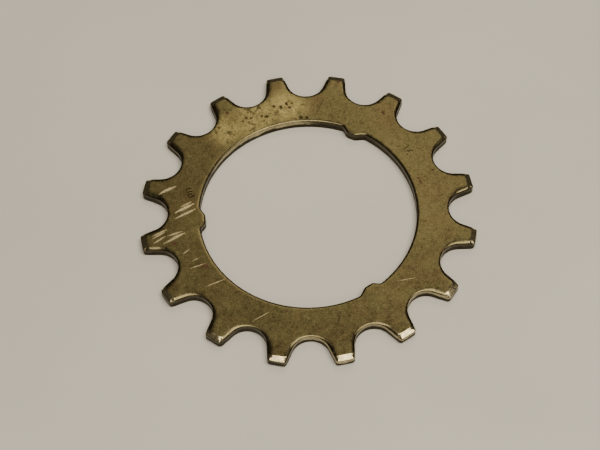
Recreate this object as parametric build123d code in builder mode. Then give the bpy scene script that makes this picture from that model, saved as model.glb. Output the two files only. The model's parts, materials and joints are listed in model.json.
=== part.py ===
from build123d import *
import os
from math import acos, atan2, cos, hypot, radians, sin

os.makedirs("parts", exist_ok=True)

# Single rear sprocket (cog) for a roller-chain bicycle freewheel. It is one plate
# blanked from steel strip: chain teeth outside, a plain bore with driving lugs inside.
# Origin: centre of the bore on the lower face. +Z points out of the upper face, which
# is the face whose edges the blanking die rolled over. -Y runs through the datum tooth,
# and one lug is centred on that tooth. All sizes are in millimetres.

# ---- chain and teeth ----
teeth = 16
chain_pitch = 12.7  # half-inch roller chain
roller_diameter = 7.75
roller_clearance = 0.05  # radial gap between a roller and its seat
tooth_height = 1.85  # tip circle above the pitch circle
tip_land = 3.6  # width of a tooth at the tip circle, before its corners are rounded
tip_corner_radius = 0.6

# ---- plate ----
plate_thickness = 2.3
bore_diameter = 44.3

# ---- driving lugs ----
lug_count = 3
lug_height = 1.2  # how far a lug stands into the bore
lug_tip_width = 1.9
lug_drive_run = 1.25  # sideways length of the steep flank
lug_back_run = 1.95  # sideways length of the gentle flank
lug_root_radius = 0.9
lug_tip_radius = 0.7

# ---- edges ----
upper_bevel_length = 1.15  # radial length of the bevel across each tooth tip
upper_bevel_depth = 0.42
lower_bevel_length = 0.8
lower_bevel_depth = 0.28
rim_roll_radius = 0.36  # rolled upper edge around the teeth
bore_roll_radius = 0.24  # rolled upper edge around the bore
burr_break = 0.12  # lower edges, with the blanking burr taken off

# ---- directions of the datum tooth and of the first tooth gap ----
datum_angle = -90.0
half_step = 180.0 / teeth
first_gap_angle = datum_angle + half_step

# ---- sizes that follow from the ones above ----
pitch_radius = chain_pitch / 2 / sin(radians(half_step))
seat_radius = roller_diameter / 2 + roller_clearance
root_radius = pitch_radius - seat_radius
tip_radius = pitch_radius + tooth_height
bore_radius = bore_diameter / 2
lug_tip_bore_radius = bore_radius - lug_height
lug_corner_radius = hypot(lug_tip_bore_radius, lug_tip_width / 2)
tool_overrun = 2.0  # how far a cutting profile runs past the metal it cuts
same_radius = 0.01  # corners this near a circle are on it

# A flank is a straight line from the tip corner to where it touches the roller seat.
# These places are for a tooth gap that lies on the X axis.
corner_angle = radians(half_step) - tip_land / 2 / tip_radius
corner_x = tip_radius * cos(corner_angle)
corner_y = tip_radius * sin(corner_angle)
corner_reach = hypot(corner_x - pitch_radius, corner_y)
touch_angle = atan2(corner_y, corner_x - pitch_radius) + acos(seat_radius / corner_reach)
touch_x = pitch_radius + seat_radius * cos(touch_angle)
touch_y = seat_radius * sin(touch_angle)


def bevel_corners(face_z, length, depth, outward):
    """Corners of the ring section that a tip bevel takes off one face."""
    slope = depth / length
    inner = tip_radius - length
    outer = tip_radius + tool_overrun
    drop = (outer - inner) * slope
    return [
        (inner, face_z),
        (outer, face_z - outward * drop),
        (outer, face_z + outward * tool_overrun),
        (inner, face_z + outward * tool_overrun),
    ]


# ==== profiles that repeat, each drawn on the X axis ====
# One tooth gap: the roller seat, the two flanks and an open mouth.
with BuildSketch() as tooth_gap:
    with BuildLine():
        roller_seat = ThreePointArc(
            (touch_x, -touch_y), (root_radius, 0), (touch_x, touch_y)
        )
        Polyline(
            roller_seat @ 1,
            (corner_x, corner_y),
            (tip_radius + tool_overrun, corner_y),
            (tip_radius + tool_overrun, -corner_y),
            (corner_x, -corner_y),
            roller_seat @ 0,
        )
    make_face()

# One lug: a flat tip between a gentle flank and a steep one. The flanks keep their
# slopes past the bore wall, to a base one lug height deep in the plate.
with BuildSketch() as lug:
    with BuildLine():
        Polyline(
            (bore_radius + lug_height, -lug_tip_width / 2 - 2 * lug_back_run),
            (lug_tip_bore_radius, -lug_tip_width / 2),
            (lug_tip_bore_radius, lug_tip_width / 2),
            (bore_radius + lug_height, lug_tip_width / 2 + 2 * lug_drive_run),
            close=True,
        )
    make_face()

# ==== sprocket: the blanked plate ====
with BuildPart() as sprocket:
    # Outline: a disc as large as the tip circle, with a gap between each two teeth.
    with BuildSketch(Plane.XY.rotated((0, 0, first_gap_angle))) as outline:
        Circle(tip_radius)
        with PolarLocations(0, teeth):
            add(tooth_gap.sketch, mode=Mode.SUBTRACT)
        tip_corners = outline.vertices().filter_by(
            lambda v: abs(hypot(v.X, v.Y) - tip_radius) < same_radius
        )
        fillet(tip_corners, tip_corner_radius)
    extrude(amount=plate_thickness)

    # Bore: a round hole that the lugs stand into.
    with BuildSketch(Plane.XY.rotated((0, 0, datum_angle))) as bore:
        Circle(bore_radius)
        with PolarLocations(0, lug_count):
            add(lug.sketch, mode=Mode.SUBTRACT)
        root_corners = bore.vertices().filter_by(
            lambda v: abs(hypot(v.X, v.Y) - bore_radius) < same_radius
        )
        fillet(root_corners, lug_root_radius)
        lug_corners = bore.vertices().filter_by(
            lambda v: hypot(v.X, v.Y) < lug_corner_radius + same_radius
        )
        fillet(lug_corners, lug_tip_radius)
    extrude(amount=plate_thickness, mode=Mode.SUBTRACT)

    # Edges: rolled over above, broken below.
    upper_face = sprocket.faces().sort_by(Axis.Z)[-1]
    fillet(upper_face.outer_wire().edges(), rim_roll_radius)
    upper_face = sprocket.faces().sort_by(Axis.Z)[-1]
    fillet(upper_face.inner_wires()[0].edges(), bore_roll_radius)
    lower_face = sprocket.faces().sort_by(Axis.Z)[0]
    chamfer(lower_face.edges(), burr_break)

    # Tooth tips: bevelled on both faces, so that the chain finds them.
    with BuildSketch(Plane.XZ) as tip_bevels:
        Polygon(
            *bevel_corners(plate_thickness, upper_bevel_length, upper_bevel_depth, 1),
            align=None,
        )
        Polygon(
            *bevel_corners(0, lower_bevel_length, lower_bevel_depth, -1),
            align=None,
        )
    revolve(axis=Axis.Z, mode=Mode.SUBTRACT)

sprocket.part.label = "sprocket"
export_step(sprocket.part, "parts/sprocket.step")

print("pitch radius", round(pitch_radius, 3))
print("root radius", round(root_radius, 3))
print("tip radius", round(tip_radius, 3))
print("volume", round(sprocket.part.volume, 1))
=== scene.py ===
import json
import math

import bmesh
import bpy
import numpy as np
from mathutils import Matrix, Vector


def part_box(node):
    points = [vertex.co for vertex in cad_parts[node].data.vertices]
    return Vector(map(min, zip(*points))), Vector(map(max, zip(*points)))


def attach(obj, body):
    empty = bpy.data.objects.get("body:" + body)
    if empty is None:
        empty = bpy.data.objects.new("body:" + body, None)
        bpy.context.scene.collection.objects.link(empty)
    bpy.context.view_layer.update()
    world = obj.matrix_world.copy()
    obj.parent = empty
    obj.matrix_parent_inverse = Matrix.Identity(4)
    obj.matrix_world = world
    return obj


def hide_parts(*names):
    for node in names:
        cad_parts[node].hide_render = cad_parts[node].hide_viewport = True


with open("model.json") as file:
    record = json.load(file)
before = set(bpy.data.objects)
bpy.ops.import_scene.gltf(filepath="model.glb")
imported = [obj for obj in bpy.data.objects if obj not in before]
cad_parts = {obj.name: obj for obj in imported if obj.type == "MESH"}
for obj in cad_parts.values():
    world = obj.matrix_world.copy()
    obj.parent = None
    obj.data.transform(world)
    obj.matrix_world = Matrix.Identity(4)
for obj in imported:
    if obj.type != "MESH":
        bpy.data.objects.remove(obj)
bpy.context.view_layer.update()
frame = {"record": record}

bl_info = {
    "name": "Freewheel cog",
    "version": (1, 0, 0),
    "blender": (4, 5, 0),
    "location": "3D View > Sidebar > Cog",
    "description": "Builds a worn steel freewheel cog on a pale studio floor",
    "category": "Mesh",
}

MM = 0.001
NODE = "sprocket"
LOW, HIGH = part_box(NODE)
MOUNTS = {mount["name"]: mount for mount in frame["record"]["mounts"]}
BORE = MOUNTS["lugged_bore"]
TEETH = MOUNTS["chain_teeth"]


# ---------------------------------------------------------------- properties


def length_property(name, description, default):
    return bpy.props.FloatProperty(
        name=name, description=description, default=default, unit="LENGTH", precision=5
    )


def angle_property(name, description, degrees):
    return bpy.props.FloatProperty(
        name=name, description=description, default=math.radians(degrees), unit="ROTATION"
    )


def colour_property(name, description, default):
    return bpy.props.FloatVectorProperty(
        name=name, description=description, default=default, subtype="COLOR", size=3
    )


class CogShape(bpy.types.PropertyGroup):
    """Sizes of the blanked plate."""

    teeth: bpy.props.IntProperty(
        name="Teeth", description="Number of chain teeth",
        default=int(TEETH["dims"]["count"]), min=9, max=40,
    )
    pitch_radius: length_property(
        "Pitch radius", "Circle on which the chain rollers sit", -TEETH["pos_m"][1]
    )
    tip_radius: length_property("Tip radius", "Circle that the tooth tips touch", HIGH.x)
    seat_radius: length_property(
        "Roller seat radius", "Radius of the hollow under a roller", 3.925 * MM
    )
    tip_land: length_property(
        "Tip land", "Width of a tooth at its tip before rounding", 3.6 * MM
    )
    corner_radius: length_property(
        "Tip corner radius", "Rounding of the two corners of a tip", 0.6 * MM
    )
    thickness: length_property("Thickness", "Thickness of the plate", HIGH.z - LOW.z)
    bore_radius: length_property(
        "Bore radius", "Radius of the bore wall between the lugs", BORE["dims"]["r_mm"] * MM
    )
    datum_angle: angle_property(
        "Datum angle", "Direction of the datum tooth and its lug", -90
    )


class CogLugs(bpy.types.PropertyGroup):
    """Sizes of the driving lugs in the bore. The runs take in the roundings."""

    count: bpy.props.IntProperty(
        name="Lugs", description="Number of driving lugs", default=3, min=1, max=12,
    )
    height: length_property("Lug height", "How far a lug stands into the bore", 1.2 * MM)
    half_tip: length_property("Lug half tip", "Half of the flat of a lug's tip", 0.65 * MM)
    drive_run: length_property("Drive flank", "Sideways run of the steep flank", 1.85 * MM)
    back_run: length_property("Back flank", "Sideways run of the gentle flank", 2.45 * MM)


class CogEdges(bpy.types.PropertyGroup):
    """Sizes of the rolled edges and of the bevels on the tooth tips."""

    rim_roll_width: length_property(
        "Rim roll width", "Width of the rolled edge around the teeth", 1.4 * MM
    )
    rim_roll_depth: length_property(
        "Rim roll depth", "Depth of the rolled edge around the teeth", 0.42 * MM
    )
    bore_roll_width: length_property(
        "Bore roll width", "Width of the rolled edge around the bore", 0.8 * MM
    )
    bore_roll_depth: length_property(
        "Bore roll depth", "Depth of the rolled edge around the bore", 0.26 * MM
    )
    burr_break: length_property(
        "Lower edge break", "Width of the broken lower edges", 0.12 * MM
    )
    upper_bevel_length: length_property(
        "Upper bevel length", "Radial length of the upper tip bevel", 1.15 * MM
    )
    upper_bevel_depth: length_property(
        "Upper bevel depth", "Depth of the upper tip bevel at the tip", 0.42 * MM
    )
    lower_bevel_length: length_property(
        "Lower bevel length", "Radial length of the lower tip bevel", 0.8 * MM
    )
    lower_bevel_depth: length_property(
        "Lower bevel depth", "Depth of the lower tip bevel at the tip", 0.28 * MM
    )
    unevenness: bpy.props.FloatProperty(
        name="Unevenness", description="How much the rolled edges vary in width",
        default=0.3, min=0, max=1, subtype="FACTOR",
    )
    seed: bpy.props.FloatProperty(
        name="Seed", description="Changes where the edges are wider and narrower",
        default=4.0,
    )


class CogMarks(bpy.types.PropertyGroup):
    """Depth and width of the stamped marks."""

    depth: length_property("Mark depth", "Depth of the stamped marks", 0.15 * MM)
    half_width: length_property(
        "Mark half width", "Half width of a stamped stroke", 0.155 * MM
    )


class CogFinish(bpy.types.PropertyGroup):
    """Colours of the worn steel, and of the shade and sheen painted on it."""

    tarnish: colour_property(
        "Tarnish", "Main colour of the tarnished faces", (0.102, 0.09, 0.043)
    )
    brown_tarnish: colour_property(
        "Brown tarnish", "Browner patches of the faces", (0.1, 0.081, 0.04)
    )
    # Paler tarnish of the old stains, and painted sheen laid over that side of the face.
    pale_stain_and_sheen: colour_property(
        "Pale tarnish", "Thinner tarnish inside the old stains", (0.3, 0.262, 0.118)
    )
    dark_tarnish: colour_property(
        "Dark tarnish", "Dirt in the marks, scratches and spots", (0.022, 0.017, 0.009)
    )
    bare_steel: colour_property(
        "Bare steel", "Rubbed streaks, edges and bevels", (0.44, 0.39, 0.25)
    )
    scraped_steel: colour_property(
        "Scraped steel", "Freshest metal, in the middle of the streaks", (0.64, 0.57, 0.36)
    )
    # Burnished band of the walls, and the colour of the painted reflection on them.
    burnished_and_sheen: colour_property(
        "Burnished wall", "Rubbed upper part of the blanked walls", (0.42, 0.37, 0.23)
    )
    # Dark colour of the walls; it also darkens the outer rolled edges as painted shade.
    dark_wall_and_roll_shade: colour_property(
        "Wall scale", "Torn lower part of the blanked walls", (0.05, 0.042, 0.025)
    )
    rust: colour_property("Rust", "Rust specks", (0.075, 0.022, 0.007))


class CogStage(bpy.types.PropertyGroup):
    """Floor and camera."""

    floor_colour: colour_property(
        "Floor colour", "Colour of the pale floor", (0.76, 0.76, 0.75)
    )
    camera_turn: angle_property(
        "Camera turn", "Camera direction round the cog, from -Y", -33.16
    )
    camera_rise: angle_property("Camera rise", "Camera height above the horizon", 59.15)
    camera_roll: angle_property(
        "Camera roll", "Turn of the camera about its own axis", -1.62
    )
    camera_distance: length_property(
        "Camera distance", "Distance from the point aimed at", 303.7 * MM
    )
    camera_aim: bpy.props.FloatVectorProperty(
        name="Camera aim", description="Point of the upper face that the camera aims at",
        subtype="XYZ", size=3, default=(-3.31 * MM, -1.88 * MM, HIGH.z),
    )
    lens: bpy.props.FloatProperty(
        name="Lens", description="Focal length in millimetres", default=90.0,
    )


GROUPS = {
    "cog_shape": CogShape,
    "cog_lugs": CogLugs,
    "cog_edges": CogEdges,
    "cog_marks": CogMarks,
    "cog_finish": CogFinish,
    "cog_stage": CogStage,
}


# ---------------------------------------------------------------- node helpers


class NodeBench:
    """Adds nodes to a tree and links them, with few words."""

    def __init__(self, tree):
        self.tree = tree

    def node(self, kind, settings=None, **inputs):
        """A node with its settings and inputs; an input is a value or another socket."""
        made = self.tree.nodes.new(kind)
        for name, value in (settings or {}).items():
            setattr(made, name, value)
        for name, value in inputs.items():
            self.feed(made.inputs[name.replace("_", " ")], value)
        return made

    def feed(self, socket, value):
        if isinstance(value, bpy.types.NodeSocket):
            self.tree.links.new(value, socket)
        elif value is not None:
            socket.default_value = value

    def first(self, kind, settings=None, **inputs):
        """The first output of a new node."""
        return self.node(kind, settings, **inputs).outputs[0]

    def math(self, operation, first, second=None, third=None, clamp=False):
        made = self.tree.nodes.new("ShaderNodeMath")
        made.operation = operation
        made.use_clamp = clamp
        for socket, value in zip(made.inputs, (first, second, third)):
            self.feed(socket, value)
        return made.outputs[0]

    def add(self, *terms):
        total = terms[0]
        for term in terms[1:]:
            total = self.math("ADD", total, term)
        return total

    def times(self, *factors):
        product = factors[0]
        for factor in factors[1:]:
            product = self.math("MULTIPLY", product, factor)
        return product

    def less(self, first, second):
        return self.math("SUBTRACT", first, second)

    def most(self, first, second):
        return self.math("MAXIMUM", first, second)

    def ramp(self, value, start, end, low=0.0, high=1.0, smooth=True):
        """value mapped from start..end to low..high, held at both ends."""
        made = self.tree.nodes.new("ShaderNodeMapRange")
        made.interpolation_type = "SMOOTHSTEP" if smooth else "LINEAR"
        made.clamp = True
        for socket, given in zip(made.inputs, (value, start, end, low, high)):
            self.feed(socket, given)
        return made.outputs[0]

    def noise(self, vector, scale, detail=2.0, roughness=0.5, distortion=0.0):
        return self.first(
            "ShaderNodeTexNoise", None, Vector=vector, Scale=scale, Detail=detail,
            Roughness=roughness, Distortion=distortion,
        )

    def mix_colour(self, share, first, second):
        made = self.tree.nodes.new("ShaderNodeMix")
        made.data_type = "RGBA"
        self.feed(made.inputs[0], share)
        self.feed(made.inputs[6], rgba(first))
        self.feed(made.inputs[7], rgba(second))
        return made.outputs[2]

    def vector(self, operation, first, second=None, scale=None):
        made = self.node("ShaderNodeVectorMath", {"operation": operation})
        for index, value in ((0, first), (1, second), (3, scale)):
            self.feed(made.inputs[index], value)
        return made

    def scaled(self, colour, value):
        """A colour times a value."""
        return self.vector("SCALE", colour, scale=value).outputs[0]

    def mix_value(self, share, first, second):
        made = self.tree.nodes.new("ShaderNodeMix")
        made.data_type = "FLOAT"
        self.feed(made.inputs[0], share)
        self.feed(made.inputs[2], first)
        self.feed(made.inputs[3], second)
        return made.outputs[0]


def rgba(colour):
    """A colour as a colour socket takes it."""
    return colour if isinstance(colour, bpy.types.NodeSocket) else (*colour, 1.0)


# ---------------------------------------------------------------- tooth sector

# How finely each stretch of a tooth's outline is divided.
SEAT_STEPS = 16
FLANK_STEPS = 9
CORNER_STEPS = 5
LAND_STEPS = 16
PLATE_ROWS = 30
LOWER_PLATE_ROWS = 8
# Rows of the two faces next to the outline and the bore, as shares of the tip corner
# radius, and rows of the walls, as shares of the thickness.
UPPER_LAYERS = (0, 0.04, 0.1, 0.18, 0.28, 0.4, 0.52, 0.65, 0.8, 1.0)
LOWER_LAYERS = (0, 0.08, 0.2, 0.45, 1.0)
WALL_LEVELS = (1.0, 0.97, 0.9, 0.75, 0.5, 0.25, 0.1, 0.03, 0.0)
# Half the distance between the two rows that hold the crease of a bevel.
CREASE = 0.02 * MM
# How wide the rolled edge is on each stretch of the outline.
SEAT_ROLL = 0.42
FLANK_ROLL = 1.0
TIP_ROLL = 0.09
# Up to 1 the rolled edge narrows all the way round a tip corner; above 1, sooner.
CORNER_FADE = 1.5


def new_object(name, data):
    """An object with this data, in the scene."""
    made = bpy.data.objects.new(name, data)
    bpy.context.scene.collection.objects.link(made)
    return made


def polar(radius, angle):
    return np.array((radius * math.cos(angle), radius * math.sin(angle)))


def half_outline(shape, creases):
    """Points from the middle of a gap to the middle of a tooth that points along +X.

    Each entry is (point, direction into the metal, share of the rolled edge, stretch).
    """
    half_step = math.pi / shape.teeth
    seat_centre = polar(shape.pitch_radius, -half_step)
    corner_angle = shape.tip_land / 2 / shape.tip_radius
    corner = polar(shape.tip_radius, -corner_angle)
    reach = corner - seat_centre
    touch_angle = math.atan2(reach[1], reach[0]) + math.acos(
        shape.seat_radius / np.linalg.norm(reach)
    )
    into_metal = polar(1.0, touch_angle)
    touch = seat_centre + shape.seat_radius * into_metal
    along = np.array((into_metal[1], -into_metal[0]))
    along *= np.sign(along @ (corner - touch))
    start = touch + shape.corner_radius * into_metal

    def run_to(radius):
        """How far along the flank its inner line meets a circle about the bore."""
        half_b = start @ along
        return -half_b + math.sqrt(half_b**2 - (start @ start - radius**2))

    # Rows across the tooth: even ones, then a close pair at each bevel's crease.
    pairs = [crease + side * CREASE for crease in creases for side in (-1, 1)]
    runs = [run_to(radius) for radius in pairs]
    runs += [runs[0] * k / FLANK_STEPS for k in range(1, FLANK_STEPS)]
    last_run = run_to(shape.tip_radius - shape.corner_radius)
    runs = sorted(runs) + [last_run]
    centre = start + last_run * along
    centre_angle = math.atan2(centre[1], centre[0])
    flank_out = math.atan2(-into_metal[1], -into_metal[0])

    outline = []
    bottom_angle = math.pi - half_step
    for k in range(SEAT_STEPS + 1):
        angle = bottom_angle + (touch_angle - bottom_angle) * k / SEAT_STEPS
        into = polar(1.0, angle)
        point = seat_centre + shape.seat_radius * into
        share = SEAT_ROLL + (FLANK_ROLL - SEAT_ROLL) * (k / SEAT_STEPS) ** 2
        outline.append((point, into, share, "seat"))
    for run in runs:
        outline.append((touch + run * along, into_metal, FLANK_ROLL, "flank"))
    for k in range(1, CORNER_STEPS + 1):
        share = k / CORNER_STEPS
        out = polar(1.0, flank_out + (centre_angle - flank_out) * share)
        roll = FLANK_ROLL + (TIP_ROLL - FLANK_ROLL) * min(1.0, CORNER_FADE * share)
        outline.append((centre + shape.corner_radius * out, -out, roll, "corner"))
    half_land = LAND_STEPS // 2
    for k in range(1, half_land + 1):
        out = polar(1.0, centre_angle * (1 - k / half_land))
        outline.append((shape.tip_radius * out, -out, TIP_ROLL, "land"))
    return outline


def full_outline(shape, creases):
    """The outline of one tooth from gap to gap, counter-clockwise."""
    half = half_outline(shape, creases)
    flip = np.array((1, -1))
    other = [(p * flip, d * flip, share, kind) for p, d, share, kind in half[-2::-1]]
    return half + other


class SectorMaker:
    """Collects the corners and faces of one tooth sector.

    A corner's height is 0 on the lower face and 1 on the upper face; the plate's real
    heights come later. Its inset is its distance from the toothed outline.
    """

    def __init__(self, outline):
        self.outline = outline
        self.corners = []
        self.faces = []

    def corner(self, point, height):
        self.corners.append((point[0], point[1], height))
        return len(self.corners) - 1

    def strip(self, first, second):
        """Faces between two rows of corners; doubled corners make triangles."""
        for a, b, c, d in zip(first, first[1:], second[1:], second):
            ring = []
            for index in (a, b, c, d):
                if index not in ring:
                    ring.append(index)
            if len(ring) > 2:
                self.faces.append(ring)

    def edge_distances(self):
        """For each corner, its distance from the outline and the roll there."""
        points = np.array([entry[0] for entry in self.outline])
        rolls = np.array([entry[2] for entry in self.outline])
        starts, spans = points[:-1], points[1:] - points[:-1]
        insets, shares = [], []
        for corner in self.corners:
            offset = np.array(corner[:2]) - starts
            along = (offset * spans).sum(1) / (spans * spans).sum(1)
            along = along.clip(0, 1)
            gaps = np.linalg.norm(offset - spans * along[:, None], axis=1)
            nearest = int(gaps.argmin())
            insets.append(gaps[nearest])
            share = along[nearest]
            shares.append(rolls[nearest] * (1 - share) + rolls[nearest + 1] * share)
        return insets, shares

    def mesh(self, name):
        made = bpy.data.meshes.new(name)
        made.from_pydata(self.corners, [], self.faces)
        for label, values in zip(("inset", "roll"), self.edge_distances()):
            attribute = made.attributes.new(label, "FLOAT", "POINT")
            attribute.data.foreach_set("value", values)
        made.update()
        return made


def cover(maker, shape, height, layers, rows):
    """One face of the sector, from the outline to the bore. Returns both edge rows."""
    outline = maker.outline
    rounding = shape.corner_radius
    stretches = [entry[3] for entry in outline]
    first_flank = stretches.index("flank")
    first_corner = stretches.index("corner")
    first_land = stretches.index("land")
    count = len(outline)

    def at_corner(index):
        """Whether this place's inner end is the centre of a rounded tip corner."""
        mirrored = count - 1 - index
        on_near_half = first_corner <= index < first_land
        on_far_half = first_corner - 1 <= mirrored < first_land - 1
        return on_near_half or on_far_half

    def face_strip(outer, inner):
        """Faces between two rows, turned outwards: up above and down below."""
        rows_in_order = (outer, inner) if height else (inner, outer)
        maker.strip(*rows_in_order)

    ring_rows = []
    for layer in layers:
        row = []
        for index, (point, into, _, _) in enumerate(outline):
            if layer == layers[-1] and at_corner(index):
                row.append(row[-1])
            else:
                place = point + into * layer * rounding
                row.append(maker.corner(place, height))
        ring_rows.append(row)
    for outer, inner in zip(ring_rows, ring_rows[1:]):
        face_strip(outer, inner)

    # Inside the tooth: rows from flank to flank, each at one radius.
    inner = ring_rows[-1]
    foot = first_flank - 1
    tooth_rows = []
    for index in range(foot, first_corner):
        left, right = inner[index], inner[count - 1 - index]
        x, y = maker.corners[left][:2]
        row = [left]
        for k in range(1, LAND_STEPS):
            if index == first_corner - 1:
                row.append(inner[first_land - 1 + k])
            else:
                place = polar(math.hypot(x, y), math.atan2(y, x) * (1 - 2 * k / LAND_STEPS))
                row.append(maker.corner(place, height))
        row.append(right)
        tooth_rows.append(row)
    for lower, upper in zip(tooth_rows, tooth_rows[1:]):
        face_strip(upper, lower)

    # From the seats and the foot of the tooth down to the band around the bore.
    top = inner[:foot] + tooth_rows[0] + inner[count - foot:]
    half_step = math.pi / shape.teeth
    band = shape.bore_radius + rounding
    previous = top
    for row_index in range(1, rows + 1):
        share = row_index / rows
        row = []
        for k, index in enumerate(top):
            x, y = maker.corners[index][:2]
            radius = math.hypot(x, y)
            angle = math.atan2(y, x)
            even = half_step * (2 * k / (len(top) - 1) - 1)
            angle += (even - angle) * share * (2 - share)
            place = polar(radius + (band - radius) * share, angle)
            row.append(maker.corner(place, height))
        face_strip(previous, row)
        previous = row
    for layer in reversed(layers[:-1]):
        row = []
        for index in previous:
            x, y = maker.corners[index][:2]
            place = polar(shape.bore_radius + layer * rounding, math.atan2(y, x))
            row.append(maker.corner(place, height))
        face_strip(previous, row)
        previous = row
    return ring_rows[0], previous


def wall(maker, upper_row, lower_row, outward):
    """The wall between the two faces, below one edge row of each."""
    previous = upper_row
    for level in WALL_LEVELS[1:]:
        if level == 0.0:
            row = lower_row
        else:
            row = [maker.corner(maker.corners[index][:2], level) for index in upper_row]
        rows_in_order = (row, previous) if outward else (previous, row)
        maker.strip(*rows_in_order)
        previous = row


def sector_mesh(shape, edges):
    """The closed section of one tooth, open only where it meets its neighbours."""
    creases = (
        shape.tip_radius - edges.upper_bevel_length,
        shape.tip_radius - edges.lower_bevel_length,
    )
    maker = SectorMaker(full_outline(shape, creases))
    upper_rim, upper_bore = cover(maker, shape, 1.0, UPPER_LAYERS, PLATE_ROWS)
    lower_rim, lower_bore = cover(maker, shape, 0.0, LOWER_LAYERS, LOWER_PLATE_ROWS)
    wall(maker, upper_rim, lower_rim, True)
    wall(maker, upper_bore, lower_bore, False)
    return maker.mesh("tooth_sector")


# ---------------------------------------------------------------- stamped marks

# The tooth count and two plain punch marks. Strokes are in millimetres, about the
# middle of the mark; +Y points away from the bore.
DIGIT_ONE = (((-0.32, 0.5), (0.0, 0.8), (0.0, -0.8)),)
DIGIT_SIX = (
    ((0.34, 0.78), (-0.1, 0.6), (-0.38, 0.15), (-0.42, -0.35), (-0.2, -0.74), (0.12, -0.78),
     (0.38, -0.5), (0.36, -0.12), (0.12, 0.08), (-0.04, 0.05)),
)
PUNCH_BARS = (((-0.6, 0.35), (-0.3, -0.4)), ((0.05, 0.45), (0.3, -0.3)))
PUNCH_HOOKS = (
    ((-0.75, 1.0), (0.25, 1.15), (0.4, 0.45), (-0.45, 0.3)),
    ((-0.55, -0.2), (0.45, -0.25), (0.3, -1.05), (-0.7, -1.0)),
)
# Each mark: its direction from the datum tooth, its radius, its lean and its strokes.
MARKS = (
    (92.0, 25.6, 8.0, DIGIT_ONE),
    (89.4, 25.3, 8.0, DIGIT_SIX),
    (-20.5, 24.9, -10.0, PUNCH_BARS),
    (-134.9, 24.8, 118.0, PUNCH_HOOKS),
)


# How far a stroke runs past its end points, as a share of its half width.
STROKE_OVERRUN = 0.5
# A wedge's section: places across it, in half widths, and levels, in mark depths.
WEDGE = ((-1, 1), (-0.35, -1), (0.35, -1), (1, 1))


def mark_strokes(datum):
    """The strokes of every mark, where they lie on the plate."""
    strokes = []
    for turn, radius, lean, pattern in MARKS:
        direction = datum + math.radians(turn)
        centre = polar(radius, direction)
        up = polar(1.0, direction + math.radians(lean))
        side = np.array((up[1], -up[0]))
        for stroke in pattern:
            strokes.append([(centre + side * x + up * y) * MM for x, y in stroke])
    return strokes


def punch_object(name, strokes, height, marks):
    """Closed wedges along the strokes: what a stamp would push out of the face."""
    shell = bmesh.new()
    for points in strokes:
        rings = []
        for k, point in enumerate(points):
            ahead = points[min(k + 1, len(points) - 1)] - point
            behind = point - points[max(k - 1, 0)]
            along = ahead / (np.linalg.norm(ahead) or 1) + behind / (np.linalg.norm(behind) or 1)
            along /= np.linalg.norm(along)
            side = np.array((-along[1], along[0]))
            end = (k == len(points) - 1) - (k == 0)
            tip = along * marks.half_width * STROKE_OVERRUN * end
            ring = []
            for half, level in WEDGE:
                place = point + tip + side * half * marks.half_width
                ring.append(shell.verts.new((*place, height + level * marks.depth)))
            rings.append(ring)
        for first, second in zip(rings, rings[1:]):
            for k in range(4):
                shell.faces.new((first[k], first[k - 1], second[k - 1], second[k]))
        shell.faces.new(rings[0])
        shell.faces.new(rings[-1])
    bmesh.ops.recalc_face_normals(shell, faces=shell.faces)
    mesh = bpy.data.meshes.new(name)
    shell.to_mesh(mesh)
    shell.free()
    return new_object(name, mesh)


# ---------------------------------------------------------------- plate nodes

WELD_DISTANCE = 2e-6
# Noise scale, per metre, of the wider and narrower stretches of the rolled edges.
WANDER_SCALE = 260.0
# How far from the bore wall the plate follows a lug: wholly, and not at all.
LUG_REACH = (0.5 * MM, 3.0 * MM)
CREASE_ANGLE = math.radians(28)


def add_input(tree, name, kind, default=None):
    socket = tree.interface.new_socket(name=name, in_out="INPUT", socket_type=kind)
    if default is not None:
        socket.default_value = default


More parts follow.
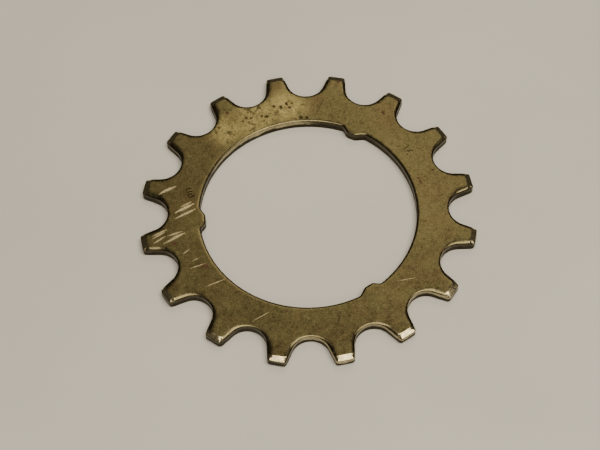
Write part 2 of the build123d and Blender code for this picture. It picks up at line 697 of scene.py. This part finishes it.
def plate_tree():
    """Node group: turns one tooth sector into the whole toothed plate."""
    tree = bpy.data.node_groups.new("toothed_plate", "GeometryNodeTree")
    add_input(tree, "Sector", "NodeSocketGeometry")
    for name in ("Teeth", "Lugs"):
        add_input(tree, name, "NodeSocketInt", 3)
    for name in (
        "Datum angle", "Thickness", "Bore radius", "Tip radius", "Rim roll width",
        "Rim roll depth", "Bore roll width", "Bore roll depth", "Lower edge break",
        "Upper bevel length", "Upper bevel depth", "Lower bevel length",
        "Lower bevel depth", "Unevenness", "Seed", "Lug height", "Lug half tip",
        "Drive flank", "Back flank",
    ):
        add_input(tree, name, "NodeSocketFloat")
    add_input(tree, "Crease angle", "NodeSocketFloat", CREASE_ANGLE)
    add_input(tree, "Marks", "NodeSocketObject")
    add_input(tree, "Finish", "NodeSocketMaterial")
    tree.interface.new_socket(
        name="Plate", in_out="OUTPUT", socket_type="NodeSocketGeometry"
    )
    bench = NodeBench(tree)
    given = bench.node("NodeGroupInput").outputs

    # The teeth: one copy of the sector for each, turned about the bore and welded.
    step = bench.math("DIVIDE", math.tau, given["Teeth"])
    index = bench.first("GeometryNodeInputIndex")
    turn = bench.add(given["Datum angle"], bench.times(step, index))
    spots = bench.node("GeometryNodePoints", None, Count=given["Teeth"])
    spots.inputs["Position"].default_value = (0, 0, 0)
    rotation = bench.first("ShaderNodeCombineXYZ", None, Z=turn)
    copies = bench.first(
        "GeometryNodeInstanceOnPoints", None, Points=spots.outputs[0],
        Instance=given["Sector"], Rotation=rotation,
    )
    real = bench.first("GeometryNodeRealizeInstances", None, Geometry=copies)
    ring = bench.first(
        "GeometryNodeMergeByDistance", None, Geometry=real,
        Distance=WELD_DISTANCE,
    )

    # Where a corner is: its height share, its radius and its direction.
    position = bench.first("GeometryNodeInputPosition")
    parts = bench.node("ShaderNodeSeparateXYZ", None, Vector=position).outputs
    x, y, share = parts
    radius = bench.math("SQRT", bench.add(bench.times(x, x), bench.times(y, y)))
    direction = bench.math("ARCTAN2", y, x)
    inset, roll = (
        bench.first("GeometryNodeInputNamedAttribute", {"data_type": "FLOAT"}, Name=name)
        for name in ("inset", "roll")
    )
    bore_inset = bench.less(radius, given["Bore radius"])

    # The rolled edges vary a little in width along the outline.
    along = bench.first("ShaderNodeCombineXYZ", None, X=x, Y=y, Z=0.0)
    wander = bench.first(
        "ShaderNodeTexNoise", {"noise_dimensions": "4D"}, Vector=along,
        W=given["Seed"], Scale=WANDER_SCALE, Detail=3.0,
    )
    swing = bench.add(
        1.0, bench.times(bench.less(wander, 0.5), 2.0, given["Unevenness"])
    )

    def nearness(distance, width):
        """1 at an edge, falling to 0 at a width from it."""
        return bench.math(
            "SUBTRACT", 1.0, bench.math("DIVIDE", distance, width), clamp=True
        )

    def rolled(distance, width, depth):
        """Depth of a rolled edge at a distance from it: a quarter of an ellipse."""
        near = nearness(distance, width)
        level = bench.math("SQRT", bench.less(1.0, bench.times(near, near)))
        return bench.times(depth, bench.less(1.0, level))

    def bevelled(length, depth):
        """Depth of a tip bevel, which deepens towards the tip circle."""
        over = bench.less(radius, bench.less(given["Tip radius"], length))
        return bench.times(bench.most(over, 0.0), bench.math("DIVIDE", depth, length))

    rim_width = bench.times(given["Rim roll width"], roll, swing)
    rim_depth = bench.times(given["Rim roll depth"], roll)
    rim_drop = rolled(inset, rim_width, rim_depth)
    bore_drop = rolled(
        bore_inset, bench.times(given["Bore roll width"], swing), given["Bore roll depth"]
    )
    upper_bevel = bevelled(given["Upper bevel length"], given["Upper bevel depth"])
    lower_bevel = bevelled(given["Lower bevel length"], given["Lower bevel depth"])
    broken = given["Lower edge break"]
    lower_rise = bench.add(
        rolled(inset, broken, broken), rolled(bore_inset, broken, broken), lower_bevel
    )
    upper_drop = bench.add(rim_drop, bore_drop, upper_bevel)

    height = bench.mix_value(share, lower_rise, bench.less(given["Thickness"], upper_drop))

    # The lugs: the bore wall moves inwards, and the plate behind it follows.
    period = bench.math("DIVIDE", math.tau, given["Lugs"])
    from_lug = bench.math(
        "WRAP", bench.less(direction, given["Datum angle"]),
        bench.times(period, 0.5), bench.times(period, -0.5),
    )
    sideways = bench.times(from_lug, given["Bore radius"])
    half_tip = given["Lug half tip"]
    drive = bench.ramp(
        sideways, half_tip, bench.add(half_tip, given["Drive flank"]), 1.0, 0.0
    )
    back = bench.ramp(
        bench.times(sideways, -1.0), half_tip,
        bench.add(half_tip, given["Back flank"]), 1.0, 0.0,
    )
    reach = bench.ramp(bore_inset, *LUG_REACH, 1.0, 0.0)
    lift = bench.times(given["Lug height"], drive, back, reach)
    grown = bench.math("DIVIDE", bench.less(radius, lift), radius)
    place = bench.first(
        "ShaderNodeCombineXYZ", None,
        X=bench.times(x, grown), Y=bench.times(y, grown), Z=height,
    )

    # What the finish needs to know about each corner.
    edge = bench.most(
        nearness(inset, rim_width), nearness(bore_inset, given["Bore roll width"])
    )
    bevel_start = bench.less(given["Tip radius"], given["Upper bevel length"])
    bevel = bench.ramp(
        radius, bench.less(bevel_start, CREASE), bench.add(bevel_start, CREASE), smooth=False
    )
    stored = ring
    for name, value in (("edge", edge), ("bevel", bevel)):
        stored = bench.first(
            "GeometryNodeStoreNamedAttribute", {"data_type": "FLOAT", "domain": "POINT"},
            Geometry=stored, Name=name, Value=value,
        )
    shaped = bench.first(
        "GeometryNodeSetPosition", None, Geometry=stored, Position=place
    )

    # The stamped marks are cut out of the upper face.
    punches = bench.node("GeometryNodeObjectInfo", None, Object=given["Marks"])
    marked = bench.first(
        "GeometryNodeStoreNamedAttribute", {"data_type": "FLOAT", "domain": "FACE"},
        Geometry=punches.outputs["Geometry"], Name="marked", Value=1.0,
    )
    stamped = bench.first(
        "GeometryNodeMeshBoolean", {"operation": "DIFFERENCE", "solver": "EXACT"},
        Mesh_1=shaped, Mesh_2=marked,
    )

    # Smooth faces, with sharp edges at the creases.
    smooth = bench.first("GeometryNodeSetShadeSmooth", None, Geometry=stamped)
    angle = bench.first("GeometryNodeInputMeshEdgeAngle")
    sharp = bench.math("GREATER_THAN", angle, given["Crease angle"])
    creased = bench.first(
        "GeometryNodeSetShadeSmooth", {"domain": "EDGE"}, Geometry=smooth,
        Selection=sharp, Shade_Smooth=False,
    )
    joined = bench.first("GeometryNodeRealizeInstances", None, Geometry=creased)
    finished = bench.first(
        "GeometryNodeSetMaterial", None, Geometry=joined,
        Material=given["Finish"],
    )
    bench.node("NodeGroupOutput", None, Plate=finished)
    return tree


def shown_values(*groups):
    """The values in property groups, by the names that the panel shows."""
    return {
        group.bl_rna.properties[key].name: getattr(group, key)
        for group in groups
        for key in type(group).__annotations__
    }


def bake_plate(name, base, tree, values):
    """Runs the node group on the base mesh and keeps the result as a plain mesh."""
    made = new_object(name, base)
    modifier = made.modifiers.new("plate", "NODES")
    modifier.node_group = tree
    for item in tree.interface.items_tree:
        if item.item_type == "SOCKET" and item.in_out == "INPUT" and item.name in values:
            modifier[item.identifier] = values[item.name]
    depsgraph = bpy.context.evaluated_depsgraph_get()
    baked = bpy.data.meshes.new_from_object(made.evaluated_get(depsgraph))
    made.modifiers.clear()
    made.data = baked
    if len(baked.polygons) <= len(base.polygons):
        raise RuntimeError(f"{name}: the node group made no plate")
    baked.name = name
    bpy.data.meshes.remove(base)
    return made


# ---------------------------------------------------------------- finish

# Scratches on the upper face, each from one point to another with its half width. A
# point is its direction from the datum tooth, in degrees, and its radius in
# millimetres. Bright ones are rubbed through the tarnish, dark ones hold dirt.
BRIGHT_SCRATCHES = (
    ((-124, 27.0), (-129, 23.5), 0.75),
    ((-127, 26.0), (-130, 24.0), 0.4),
    ((-121, 27.0), (-126, 23.0), 0.55),
    ((-133, 30.5), (-137, 28.0), 0.7),
    ((-132, 31.0), (-135, 29.5), 0.4),
    ((-114, 32.0), (-116, 29.0), 0.45),
    ((-113, 32.0), (-115, 29.5), 0.4),
    ((-111, 32.0), (-113, 29.5), 0.4),
    ((-110, 30.0), (-113, 25.5), 0.55),
    ((-113, 29.0), (-114, 26.0), 0.4),
    ((-112, 28.0), (-113, 25.5), 0.3),
    ((-103, 27.0), (-104, 25.5), 0.25),
    ((-95, 27.0), (-94, 24.0), 0.25),
    ((-98, 26.0), (-98, 24.5), 0.15),
    ((-84, 27.0), (-81, 23.0), 0.2),
    ((-58, 27.5), (-53, 24.5), 0.15),
    ((12, 24.0), (19, 26.5), 0.1),
)
DARK_SCRATCHES = (
    ((142, 23.5), (138, 28.5), 0.25),
    ((163, 27.0), (158, 23.5), 0.1),
    ((58, 24.5), (63, 28.0), 0.1),
)
# Old stains, painted paler partly as painted sheen, and single specks: direction from the datum
# tooth, radius, size.
STAINS_AND_SHEEN = (
    (171, 26.0, 7.5),
    (155, 26.5, 6.0),
    (186, 26.5, 5.5),
)
RUST_SPECKS = (
    (-109, 28.0, 0.75), (-93, 24.5, 0.6), (-92, 24.0, 0.65), (-95, 25.0, 0.4),
    (74, 24.0, 0.4), (72, 24.0, 0.4), (76, 27.5, 0.4), (112, 29.0, 0.5),
    (-45, 23.5, 0.4), (-30, 27.0, 0.4), (22, 25.0, 0.35), (36, 28.5, 0.4),
    (128, 25.5, 0.35), (-66, 24.5, 0.35), (3, 26.5, 0.4), (49, 24.0, 0.3),
)
BLACK_SPECKS = (
    (158, 26.5, 0.55), (155, 27.0, 0.5), (154, 26.0, 0.5), (161, 27.0, 0.45),
    (166, 25.0, 0.55), (175, 26.5, 0.55), (173, 26.0, 0.4), (168, 25.5, 0.4),
    (149, 23.0, 0.6), (146, 23.0, 0.5),
)
# Stretches of the upper wall painted brighter as painted reflection, in the bore and at the
# teeth: direction from the datum tooth, radius, size.
BORE_SHEEN = ((176, 22.0, 15.0),)
TOOTH_SHEEN = ((-4, 31.0, 25.0),)


# Noise patterns of the steel: scale per metre, detail, roughness and distortion.
PATTERNS = {
    "clouds": (75.0, 2.0, 0.5),
    "hue": (230.0, 3.0, 0.6),
    "blotches": (260.0, 4.0, 0.6, 0.4),
    "clusters": (640.0, 3.0, 0.75),
    "mottle": (1100.0, 4.0, 0.7),
    "patches": (1300.0, 3.0, 0.6),
    "fine": (2600.0, 2.0, 0.6),
    "grain": (4200.0, 2.0, 0.6),
}
# How far each of these patterns lightens and darkens the steel.
TONES = {"clouds": 0.12, "blotches": 0.2, "mottle": 0.34, "grain": 0.42}
# Scattered rust: cells per metre, and the random number above which a cell has some.
RUST_CELL_SCALE = 290.0
RUSTY_ABOVE = 0.62
# Heights on the wall where it is wholly burnished and wholly torn, as shares of the
# thickness, and how far the line between them wanders.
TORN_LEVELS = (0.56, 0.46)
TORN_WANDER = 1.6 * MM
# How far the outline of a spot wanders.
SPOT_WANDER = 0.9 * MM
# Walls within this many bore radii of the centre belong to the bore.
BORE_SIDE = 1.1
RELIEF_DEPTH = 0.03 * MM
FLOOR_CLOUD_SCALE = 18.0
FLOOR_SHADE = 0.93
# Roughness of the tarnish, and of what lies over it, from the lowest layer up.
ROUGHNESS = {
    "tarnish": 0.34,
    "rolled": 0.24,
    "ground": 0.22,
    "scraped": 0.3,
    "torn": 0.6,
    "specks": 0.7,
}


def line_distance():
    """Node group: how close a place is to a straight scratch, from 0 to 1."""
    tree = bpy.data.node_groups.new("scratch", "ShaderNodeTree")
    for name, kind in (
        ("Place", "NodeSocketVector"), ("Start", "NodeSocketVector"),
        ("Span", "NodeSocketVector"), ("Half width", "NodeSocketFloat"),
    ):
        add_input(tree, name, kind)
    tree.interface.new_socket(name="Mask", in_out="OUTPUT", socket_type="NodeSocketFloat")
    bench = NodeBench(tree)
    given = bench.node("NodeGroupInput").outputs
    span = given["Span"]
    offset = bench.vector("SUBTRACT", given["Place"], given["Start"]).outputs[0]
    covered = bench.vector("DOT_PRODUCT", offset, span).outputs["Value"]
    whole = bench.vector("DOT_PRODUCT", span, span).outputs["Value"]
    along = bench.math("DIVIDE", covered, whole, clamp=True)
    nearest = bench.vector("SCALE", span, scale=along).outputs[0]
    gap = bench.vector("DISTANCE", offset, nearest).outputs["Value"]
    from_middle = bench.math("ABSOLUTE", bench.less(along, 0.5))
    taper = bench.ramp(from_middle, 0.1, 0.5, 1.0, 0.35)
    reach = bench.times(given["Half width"], taper)
    mask = bench.ramp(gap, 0.0, reach, 1.0, 0.0, False)
    bench.node("NodeGroupOutput", None, Mask=mask)
    return tree


class SteelSurface:
    """What the finish knows of each place: where it is, how it faces, its patterns."""

    def __init__(self, bench, shape):
        self.bench = bench
        self.shape = shape
        self.place = bench.node("ShaderNodeTexCoord").outputs["Object"]
        parts = bench.node("ShaderNodeSeparateXYZ", None, Vector=self.place).outputs
        x, y, self.height = parts
        self.flat_place = bench.first("ShaderNodeCombineXYZ", None, X=x, Y=y)
        normal = bench.node("ShaderNodeNewGeometry").outputs["Normal"]
        slope = bench.node("ShaderNodeSeparateXYZ", None, Vector=normal).outputs["Z"]
        self.is_wall = bench.ramp(bench.math("ABSOLUTE", slope), 0.82, 0.5)
        self.is_top = bench.ramp(slope, 0.5, 0.8)
        self.edge, self.bevel, self.marked = (
            bench.node("ShaderNodeAttribute", {"attribute_name": name}).outputs["Fac"]
            for name in ("edge", "bevel", "marked")
        )
        self.pattern = {
            name: bench.noise(self.place, *values) for name, values in PATTERNS.items()
        }
        self.scratch = line_distance()

    def swing(self, name, size):
        """A pattern that swings about 0, to half of size each way."""
        return self.bench.times(self.bench.less(self.pattern[name], 0.5), size)

    def spot(self, turn, radius):
        """The place at a direction from the datum tooth, in degrees, and a radius."""
        return polar(radius * MM, self.shape.datum_angle + math.radians(turn))

    def scratches(self, scratches):
        """The strongest of several scratches at a place."""
        bench = self.bench
        strongest = 0.0
        for start, end, half_width in scratches:
            first = self.spot(*start)
            last = self.spot(*end)
            mask = bench.first(
                "ShaderNodeGroup", {"node_tree": self.scratch}, Place=self.flat_place,
                Start=(*first, 0), Span=(*(last - first), 0), Half_width=half_width * MM,
            )
            strongest = bench.most(strongest, mask)
        return strongest

    def blots(self, blots, core, ragged=0.0):
        """The strongest of several round blots; core is the solid share of each."""
        bench = self.bench
        strongest = 0.0
        for turn, radius, size in blots:
            centre = (*self.spot(turn, radius), 0)
            gap = bench.vector("DISTANCE", self.flat_place, centre).outputs["Value"]
            near = bench.ramp(bench.add(gap, ragged), size * MM, size * core * MM, 0.0, 1.0)
            strongest = bench.most(strongest, near)
        return strongest


def tarnish(surface, colours):
    """Tarnish with paler old stains, partly painted sheen. Gives its colour, the tone and the
    mask of the stains and sheen.
    """
    bench, pattern = surface.bench, surface.pattern
    colour = bench.mix_colour(
        bench.ramp(pattern["hue"], 0.42, 0.66), colours.tarnish, colours.brown_tarnish
    )
    shifts = [
        bench.ramp(pattern[name], 0.3, 0.7, -size, size, False)
        for name, size in TONES.items()
    ]
    tone = bench.add(1.0, bench.add(*shifts))
    # Pale patches: old stains, and painted sheen where that side of the face shows a brighter
    # reflection.
    stain_and_sheen = bench.times(
        surface.blots(STAINS_AND_SHEEN, 0.25), surface.is_top,
        bench.ramp(pattern["blotches"], 0.25, 0.6, 0.55, 1.0),
    )
    colour = bench.mix_colour(bench.times(stain_and_sheen, 0.8), colour, colours.pale_stain_and_sheen)
    return bench.scaled(colour, tone), tone, stain_and_sheen


def bare_metal(surface, colours, colour):
    """Metal showing on the rolled edges, the bevels and the rubbed streaks, and painted shade on
    the outer part of the rolled edges.
    """
    bench, is_top = surface.bench, surface.is_top
    streak = bench.add(surface.scratches(BRIGHT_SCRATCHES), surface.swing("fine", 0.9))
    rubbed = bench.times(bench.ramp(streak, 0.0, 0.8, 0.0, 0.32, False), is_top)
    scraped = bench.times(bench.ramp(streak, 0.5, 1.0), is_top)
    rolled = bench.times(
        bench.ramp(surface.edge, 0.2, 0.55), bench.less(1.0, surface.is_wall)
    )
    # Painted shade: the outer part of the rolled edges is darkened towards the wall colour,
    # except on the ground bevels.
    outer_roll_shade = bench.ramp(surface.edge, 0.35, 0.85)
    worn = bench.ramp(surface.pattern["patches"], 0.25, 0.7, 0.5, 0.95)
    ground = bench.times(surface.bevel, is_top, worn)
    for share, metal in (
        (bench.times(rolled, 0.1), colours.bare_steel),
        (bench.most(ground, rubbed), colours.bare_steel),
        (scraped, colours.scraped_steel),
        (bench.times(outer_roll_shade, bench.less(1.0, ground), 0.45), colours.dark_wall_and_roll_shade),
    ):
        colour = bench.mix_colour(share, colour, metal)
    return colour, {"rolled": rolled, "ground": ground, "scraped": scraped}


def blanked_wall(surface, colours, tone):
    """The walls: burnished above, painted brighter as painted reflection on a few stretches, and
    torn below.
    """
    bench, shape = surface.bench, surface.shape
    torn_line = bench.add(surface.height, surface.swing("blotches", TORN_WANDER))
    burnished_from, torn_to = (shape.thickness * level for level in TORN_LEVELS)
    torn = bench.ramp(torn_line, burnished_from, torn_to)
    from_centre = bench.vector("LENGTH", surface.flat_place).outputs["Value"]
    in_bore = bench.math("LESS_THAN", from_centre, shape.bore_radius * BORE_SIDE)
    # Painted reflection: blots where the upper wall is painted brighter.
    wall_sheen = bench.mix_value(
        in_bore, surface.blots(TOOTH_SHEEN, 0.55), surface.blots(BORE_SHEEN, 0.55)
    )
    # The burnished band, with the painted reflection over it where the blots lie.
    burnish_and_sheen = bench.times(bench.less(1.0, torn), bench.ramp(wall_sheen, 0.0, 1.0, 0.05, 1.0))
    colour = bench.mix_colour(burnish_and_sheen, colours.dark_wall_and_roll_shade, colours.burnished_and_sheen)
    return bench.scaled(colour, tone), bench.times(torn, surface.is_wall)


def dirt(surface):
    """Mask of the dirt in the stamped marks and the dark scratches."""
    bench = surface.bench
    in_scratches = bench.times(surface.scratches(DARK_SCRATCHES), surface.is_top, 0.6)
    return bench.most(bench.times(surface.marked, 0.55), in_scratches)


def specks(surface, stain_and_sheen):
    """Masks of the black spots, placed and in the stains, and of the rust specks,
    placed and scattered."""
    bench = surface.bench
    ragged = surface.swing("fine", SPOT_WANDER)
    clusters = bench.ramp(surface.pattern["clusters"], 0.55, 0.64)
    black = bench.most(
        bench.times(stain_and_sheen, clusters, 0.7), surface.blots(BLACK_SPECKS, 0.2, ragged)
    )
    cells = bench.node(
        "ShaderNodeTexVoronoi", None, Vector=surface.place, Scale=RUST_CELL_SCALE
    )
    draw = bench.first("ShaderNodeSeparateColor", None, Color=cells.outputs["Color"])
    size = bench.ramp(draw, RUSTY_ABOVE, 1.0, 0.05, 0.16, False)
    scattered = bench.times(
        bench.ramp(cells.outputs["Distance"], bench.times(size, 0.5), size, 1.0, 0.0),
        bench.math("GREATER_THAN", draw, RUSTY_ABOVE), 0.85,
    )
    placed = bench.times(surface.blots(RUST_SPECKS, 0.2, ragged), surface.is_top)
    return bench.times(black, surface.is_top), bench.most(scattered, placed)


def empty_material(name):
    """A node material with no nodes yet, and the bench to fill it from."""
    material = bpy.data.materials.new(name)
    material.use_nodes = True
    material.node_tree.nodes.clear()
    return material, NodeBench(material.node_tree)


def shade(bench, **inputs):
    """The material's shader, with these inputs, linked to its surface."""
    shader = bench.first("ShaderNodeBsdfPrincipled", None, **inputs)
    bench.node("ShaderNodeOutputMaterial", None, Surface=shader)


def worn_steel(colours, shape):
    """Tarnished cold-rolled steel with rubbed edges, stains, specks and scratches, painted shade
    on the outer rolled edges and painted sheen on the walls and stains.
    """
    material, bench = empty_material("worn_steel")
    surface = SteelSurface(bench, shape)
    pattern = surface.pattern
    colour, tone, stain_and_sheen = tarnish(surface, colours)
    colour, bare = bare_metal(surface, colours, colour)
    wall_colour, torn = blanked_wall(surface, colours, tone)
    black, rusty = specks(surface, stain_and_sheen)
    for share, layer in (
        (surface.is_wall, wall_colour),
        (dirt(surface), colours.dark_tarnish),
        (bench.times(black, 0.8), colours.dark_tarnish),
        (bench.times(rusty, 0.9), colours.rust),
    ):
        colour = bench.mix_colour(share, colour, layer)

    layers = {**bare, "torn": torn, "specks": bench.most(rusty, black)}
    roughness = ROUGHNESS["tarnish"]
    for name, share in layers.items():
        roughness = bench.mix_value(share, roughness, ROUGHNESS[name])
    roughness = bench.add(
        roughness, surface.swing("mottle", 0.25), surface.swing("blotches", 0.15)
    )

    # Relief: sheet grain, shallow waves, and the torn wall.
    relief = bench.add(
        bench.times(pattern["grain"], 0.2), bench.times(pattern["mottle"], 0.5),
        bench.times(pattern["blotches"], 0.7), bench.times(torn, pattern["patches"], 2.0),
    )
    normal = bench.first(
        "ShaderNodeBump", None, Strength=0.5, Distance=RELIEF_DEPTH, Height=relief
    )
    metal = bench.less(1.0, bench.times(rusty, 0.8))
    shade(bench, Base_Color=colour, Roughness=roughness, Metallic=metal, Normal=normal)
    return material


def floor_paint(colour):
    """Matt pale board with a faint unevenness."""
    material, bench = empty_material("pale_floor")
    place = bench.node("ShaderNodeTexCoord").outputs["Object"]
    cloud = bench.noise(place, FLOOR_CLOUD_SCALE, 3.0)
    darker = [channel * FLOOR_SHADE for channel in colour]
    paint = bench.mix_colour(bench.ramp(cloud, 0.3, 0.7), colour, darker)
    shade(bench, Base_Color=paint, Roughness=0.7)
    return material


# ---------------------------------------------------------------- stage

FLOOR_HALF = 1.5
# Soft lights that hang level and shine down: place (steps to the camera's right, away
# from it, and up), width, depth, power and colour.
LIGHTS = {
    "main_light": ((0.13, -0.1, 0.6), 0.52, 0.26, 3.4, (1.0, 0.89, 0.7)),
    "far_light": ((0.1, 0.46, 0.6), 0.36, 0.34, 1.15, (1.0, 0.86, 0.62)),
    "near_light": ((0.0, -0.75, 0.6), 0.5, 0.36, 1.5, (1.0, 0.88, 0.68)),
}
SKY_COLOUR = (0.5, 0.44, 0.34, 1.0)
SKY_STRENGTH = 0.16
SENSOR_WIDTH = 36
NEAREST_SEEN = 0.01


def from_camera_side(camera_turn, right, away, height):
    """A place given by steps to the camera's right, away from it, and up."""
    across = Vector((math.cos(camera_turn), math.sin(camera_turn), 0))
    ahead = Vector((-across.y, across.x, 0))
    return across * right + ahead * away + Vector((0, 0, height))


def lay_floor(colour):
    """A plain square floor at the height of the cog's lower face."""
    mesh = bpy.data.meshes.new("floor")
    signs = ((-1, -1), (1, -1), (1, 1), (-1, 1))
    corners = [(x * FLOOR_HALF, y * FLOOR_HALF, 0) for x, y in signs]
    mesh.from_pydata(corners, [], [(0, 1, 2, 3)])
    mesh.materials.append(floor_paint(colour))
    floor = new_object("floor", mesh)


def hang_light(name, camera_turn, place, width, depth, power, colour):
    """A rectangular soft light that hangs level and shines down."""
    data = bpy.data.lights.new(name, "AREA")
    data.shape = "RECTANGLE"
    data.size = width
    data.size_y = depth
    data.energy = power
    data.color = colour
    lamp = new_object(name, data)
    lamp.location = from_camera_side(camera_turn, *place)
    lamp.rotation_euler = (0, 0, camera_turn)


def light_sky():
    """An even, dim and warm light from all round."""
    world = bpy.data.worlds.new("studio")
    bpy.context.scene.world = world
    world.use_nodes = True
    background = world.node_tree.nodes["Background"]
    background.inputs["Color"].default_value = SKY_COLOUR
    background.inputs["Strength"].default_value = SKY_STRENGTH


def set_camera(stage):
    """The camera, turned and raised about the point that it aims at."""
    data = bpy.data.cameras.new("camera")
    data.lens = stage.lens
    data.sensor_width = SENSOR_WIDTH
    data.clip_start = NEAREST_SEEN
    camera = new_object("camera", data)
    back = from_camera_side(
        stage.camera_turn, 0.0, -math.cos(stage.camera_rise), math.sin(stage.camera_rise)
    )
    camera.location = Vector(stage.camera_aim) + back * stage.camera_distance
    look = back.to_track_quat("Z", "Y").to_matrix()
    roll = Matrix.Rotation(stage.camera_roll, 3, "Z")
    camera.rotation_euler = (look @ roll).to_euler()
    bpy.context.scene.camera = camera


# ---------------------------------------------------------------- operators


class COG_OT_plate(bpy.types.Operator):
    """Build the toothed plate with its lugs, rolled edges, bevels and marks."""

    bl_idname = "cog.plate"
    bl_label = "Toothed plate"

    def execute(self, context):
        scene = context.scene
        shape, lugs, edges = scene.cog_shape, scene.cog_lugs, scene.cog_edges
        punches = punch_object(
            "mark_punches", mark_strokes(shape.datum_angle), shape.thickness, scene.cog_marks
        )
        values = shown_values(shape, lugs, edges)
        values["Marks"] = punches
        values["Finish"] = worn_steel(scene.cog_finish, shape)
        cog = bake_plate("cog_plate", sector_mesh(shape, edges), plate_tree(), values)
        bpy.data.objects.remove(punches)
        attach(cog, "root")
        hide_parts(NODE)
        return {"FINISHED"}


class COG_OT_stage(bpy.types.Operator):
    """Set up the pale floor, the soft lights and the camera."""

    bl_idname = "cog.stage"
    bl_label = "Studio"

    def execute(self, context):
        stage = context.scene.cog_stage
        lay_floor(stage.floor_colour)
        for name, values in LIGHTS.items():
            hang_light(name, stage.camera_turn, *values)
        light_sky()
        set_camera(stage)
        return {"FINISHED"}


class COG_PT_panel(bpy.types.Panel):
    """Lists the cog's sizes and the buttons that build it."""

    bl_idname = "COG_PT_panel"
    bl_label = "Freewheel cog"
    bl_space_type = "VIEW_3D"
    bl_region_type = "UI"
    bl_category = "Cog"

    def draw(self, context):
        layout = self.layout
        for group_name, group in GROUPS.items():
            box = layout.box()
            box.label(text=group.__doc__)
            for prop in group.__annotations__:
                box.prop(getattr(context.scene, group_name), prop)
        for operator in OPERATORS:
            layout.operator(operator.bl_idname)


OPERATORS = (COG_OT_plate, COG_OT_stage)
CLASSES = (*GROUPS.values(), *OPERATORS, COG_PT_panel)


def register():
    for cls in CLASSES:
        bpy.utils.register_class(cls)
    for name, group in GROUPS.items():
        setattr(bpy.types.Scene, name, bpy.props.PointerProperty(type=group))


def unregister():
    for name in GROUPS:
        delattr(bpy.types.Scene, name)
    for cls in reversed(CLASSES):
        bpy.utils.unregister_class(cls)


def main():
    register()
    bpy.ops.cog.plate()
    bpy.ops.cog.stage()


if __name__ == "__main__":
    main()
